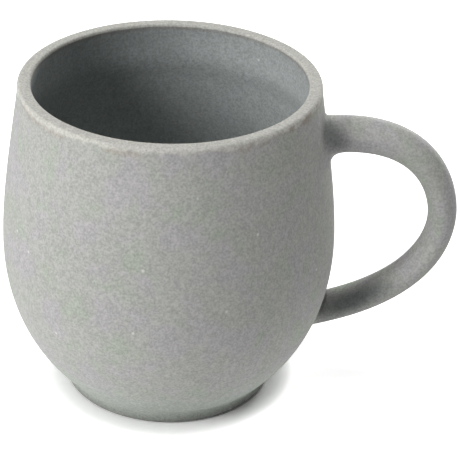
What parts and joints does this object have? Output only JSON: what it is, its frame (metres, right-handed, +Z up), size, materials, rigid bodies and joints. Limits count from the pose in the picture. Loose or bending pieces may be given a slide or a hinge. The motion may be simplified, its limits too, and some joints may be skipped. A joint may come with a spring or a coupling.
{
  "type": "coffee mug",
  "caption": "Matte grey stoneware mug: round-bellied cup narrowing to the rim, turned foot ring and a D-shaped loop handle on one side.",
  "frame": {"origin": "middle of the footprint of cup and handle together, on the plane that the foot ring stands on; the cup's own axis is 16.0 mm towards -X", "axes": "+Z up along the cup's axis, +X from the cup towards its handle, +Y completes the right-handed frame"},
  "size_m": [0.122, 0.09, 0.0889],
  "materials": {
    "stoneware": "matte, fine speckled grey stoneware",
    "stoneware_handle": "matte, fine speckled grey stoneware",
    "bare_clay": "matte, turned and unglazed",
    "clay_slip": "matte, smoothed by hand"
  },
  "bodies": {
    "root": {"cup_body": "stoneware", "foot_ring": "bare_clay", "handle": "stoneware_handle", "upper_slip_joint": "clay_slip", "lower_slip_joint": "clay_slip"}
  },
  "joints": []
}
